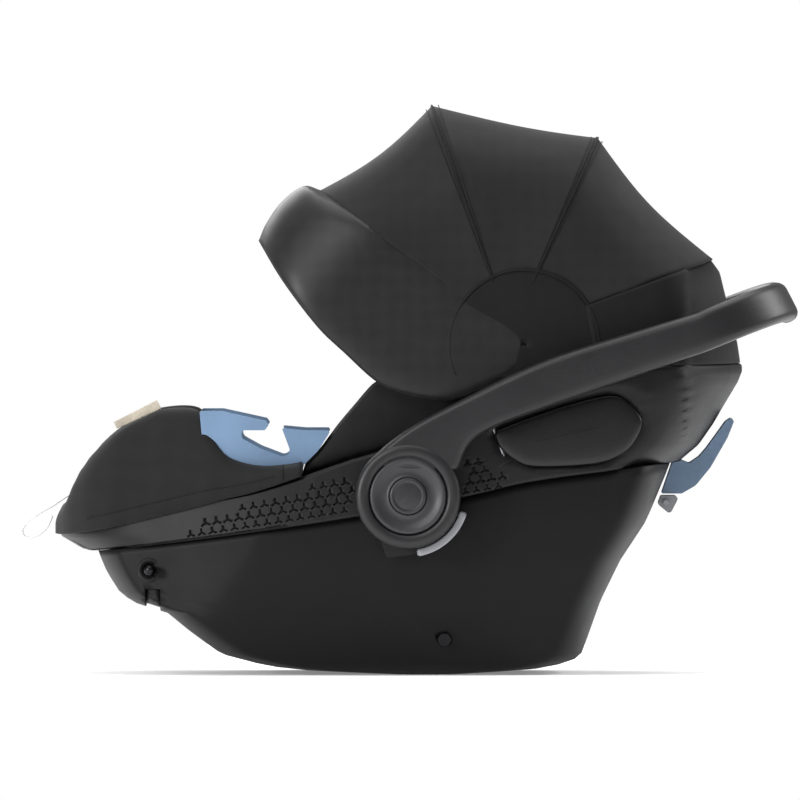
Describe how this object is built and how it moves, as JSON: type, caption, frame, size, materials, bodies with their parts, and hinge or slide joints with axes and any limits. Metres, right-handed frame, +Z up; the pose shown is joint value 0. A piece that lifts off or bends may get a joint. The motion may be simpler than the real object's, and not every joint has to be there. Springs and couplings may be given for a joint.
{
  "type": "infant car seat",
  "caption": "Rear-facing infant carrier with a rocker-bottomed shell, swinging carrying handle, folding canopy with visor, side pods, belt guides and a padded harness.",
  "frame": {"origin": "middle of the flat under the rocker bottom, on the surface that the seat stands on", "axes": "+X towards the child's head, +Z up, symmetric about Y = 0; the child's left side is -Y"},
  "size_m": [0.7262, 0.44, 0.5327],
  "materials": {
    "shell_dark": "satin",
    "rim_black": "satin",
    "foam": "satin",
    "cover_fabric": "plain",
    "inlay_fabric": "plain",
    "canopy_cloth": "plain",
    "visor_cloth": "plain",
    "webbing": "plain",
    "pull_webbing": "plain",
    "label_cloth": "plain",
    "handle_plastic": "satin",
    "grip_rubber": "plain",
    "button_plastic": "satin",
    "blue_plastic": "satin",
    "grey_plastic": "satin",
    "red_plastic": "satin",
    "steel": "plain",
    "spring_steel": "plain"
  },
  "bodies": {
    "seat": {"adapter_housing_left": "shell_dark", "adapter_housing_right": "shell_dark", "adjuster_housing": "button_plastic", "adjuster_strap": "pull_webbing", "back_pad": "inlay_fabric", "body_cover": "cover_fabric", "buckle_body": "button_plastic", "buckle_tongues": "button_plastic", "canopy_bracket_left": "shell_dark", "canopy_bracket_right": "shell_dark", "canopy_gussets": "canopy_cloth", "canopy_pivot_pins": "steel", "canopy_skirt": "canopy_cloth", "crotch_strap": "webbing", "front_anchor_bar": "steel", "harness_strap_left": "webbing", "harness_strap_right": "webbing", "impact_foam": "foam", "label_tab": "label_cloth", "lap_belt_guide_left": "blue_plastic", "lap_belt_guide_right": "blue_plastic", "latch_shaft": "steel", "leg_cover": "cover_fabric", "lower_shell": "shell_dark", "pivot_plate_left": "shell_dark", "pivot_plate_right": "shell_dark", "pivot_screws": "steel", "pod_hinge_pins": "steel", "release_lever_pin": "steel", "seat_pad": "inlay_fabric", "shoulder_belt_guide": "blue_plastic", "shoulder_pads": "inlay_fabric", "upper_shell": "rim_black"},
    "handle": {"handle_frame": "handle_plastic", "handle_grip": "grip_rubber"},
    "headrest": {"headrest_shell": "shell_dark", "headrest_pad": "inlay_fabric"},
    "canopy_rear": {"canopy_rib_rear": "shell_dark", "canopy_fabric_rear": "canopy_cloth"},
    "canopy_mid": {"canopy_rib_mid": "shell_dark", "canopy_fabric_mid": "canopy_cloth"},
    "canopy_front": {"canopy_rib_front": "shell_dark", "canopy_fabric_front": "canopy_cloth", "canopy_visor": "visor_cloth"},
    "buckle_push": {"buckle_button": "red_plastic"},
    "adjuster_push": {"adjuster_button": "grey_plastic"},
    "base_release": {"base_release_lever": "grey_plastic"},
    "base_hooks": {"latch_hooks": "steel"},
    "button_left": {"handle_button_left": "button_plastic", "button_cap_left": "button_plastic", "lock_gear_left": "steel", "button_spring_left": "spring_steel"},
    "adapter_left": {"adapter_lever_left": "grey_plastic"},
    "pod_left": {"side_pod_left": "button_plastic"},
    "button_right": {"handle_button_right": "button_plastic", "button_cap_right": "button_plastic", "lock_gear_right": "steel", "button_spring_right": "spring_steel"},
    "adapter_right": {"adapter_lever_right": "grey_plastic"},
    "pod_right": {"side_pod_right": "button_plastic"}
  },
  "joints": [
    {"name": "handle_swing", "type": "hinge", "parent": "seat", "child": "handle", "pos_m": [-0.016, 0, 0.168], "axis": [0, -1, 0], "range_deg": [-38, 145]},
    {"name": "handle_button_left", "type": "slide", "parent": "handle", "child": "button_left", "axis": [0, 1, 0], "range_m": [0, 0.005], "stiffness_N_per_m": 900, "springref_m": -0.004, "deforming": ["button_spring_left"]},
    {"name": "handle_button_right", "type": "slide", "parent": "handle", "child": "button_right", "axis": [0, -1, 0], "range_m": [0, 0.005], "stiffness_N_per_m": 900, "springref_m": -0.004, "deforming": ["button_spring_right"]},
    {"name": "adapter_lever_left", "type": "hinge", "parent": "seat", "child": "adapter_left", "pos_m": [-0.016, 0, 0.168], "axis": [0, 1, 0], "range_deg": [0, 12], "stiffness_Nm_per_rad": 0.8, "springref_deg": -17.19},
    {"name": "adapter_lever_right", "type": "hinge", "parent": "seat", "child": "adapter_right", "pos_m": [-0.016, 0, 0.168], "axis": [0, 1, 0], "range_deg": [0, 12], "stiffness_Nm_per_rad": 0.8, "springref_deg": -17.19},
    {"name": "side_pod_left", "type": "hinge", "parent": "seat", "child": "pod_left", "pos_m": [0.069, -0.1862, 0.217], "axis": [0.3584, 0, -0.9336], "range_deg": [0, 25]},
    {"name": "side_pod_right", "type": "hinge", "parent": "seat", "child": "pod_right", "pos_m": [0.069, 0.1862, 0.217], "axis": [-0.3584, 0, 0.9336], "range_deg": [0, 25]},
    {"name": "headrest_slide", "type": "slide", "parent": "seat", "child": "headrest", "axis": [0.766, 0, 0.6428], "range_m": [0, 0.08]},
    {"name": "canopy_fold", "type": "hinge", "parent": "seat", "child": "canopy_rear", "pos_m": [0.08, 0, 0.322], "axis": [0, 1, 0], "range_deg": [0, 41], "deforming": ["canopy_fabric_rear"]},
    {"name": "canopy_fold_mid", "type": "hinge", "parent": "canopy_rear", "child": "canopy_mid", "pos_m": [0.08, 0, 0.322], "axis": [0, 1, 0], "range_deg": [0, 39.4], "deforming": ["canopy_fabric_mid"]},
    {"name": "canopy_fold_front", "type": "hinge", "parent": "canopy_mid", "child": "canopy_front", "pos_m": [0.08, 0, 0.322], "axis": [0, 1, 0], "range_deg": [0, 29.8], "deforming": ["canopy_fabric_front"]},
    {"name": "buckle_button_push", "type": "slide", "parent": "seat", "child": "buckle_push", "axis": [0.9153, 0, -0.4027], "range_m": [0, 0.003], "stiffness_N_per_m": 900, "springref_m": -0.003},
    {"name": "adjuster_button_push", "type": "slide", "parent": "seat", "child": "adjuster_push", "axis": [0, 0, -1], "range_m": [0, 0.0025], "stiffness_N_per_m": 700, "springref_m": -0.003},
    {"name": "base_release", "type": "hinge", "parent": "seat", "child": "base_release", "pos_m": [0.226, 0, 0.16], "axis": [0, 1, 0], "range_deg": [0, 20], "stiffness_Nm_per_rad": 0.5, "springref_deg": -22.92},
    {"name": "base_hooks_turn", "type": "hinge", "parent": "seat", "child": "base_hooks", "pos_m": [0.018, 0, 0.033], "axis": [0, 1, 0], "range_deg": [0, 12.1]}
  ],
  "couplings": [
    {"joint": "canopy_fold_mid", "follows": "canopy_fold", "ratio": 0.9585},
    {"joint": "canopy_fold_front", "follows": "canopy_fold", "ratio": 0.7244},
    {"joint": "base_hooks_turn", "follows": "base_release", "ratio": 0.6}
  ]
}
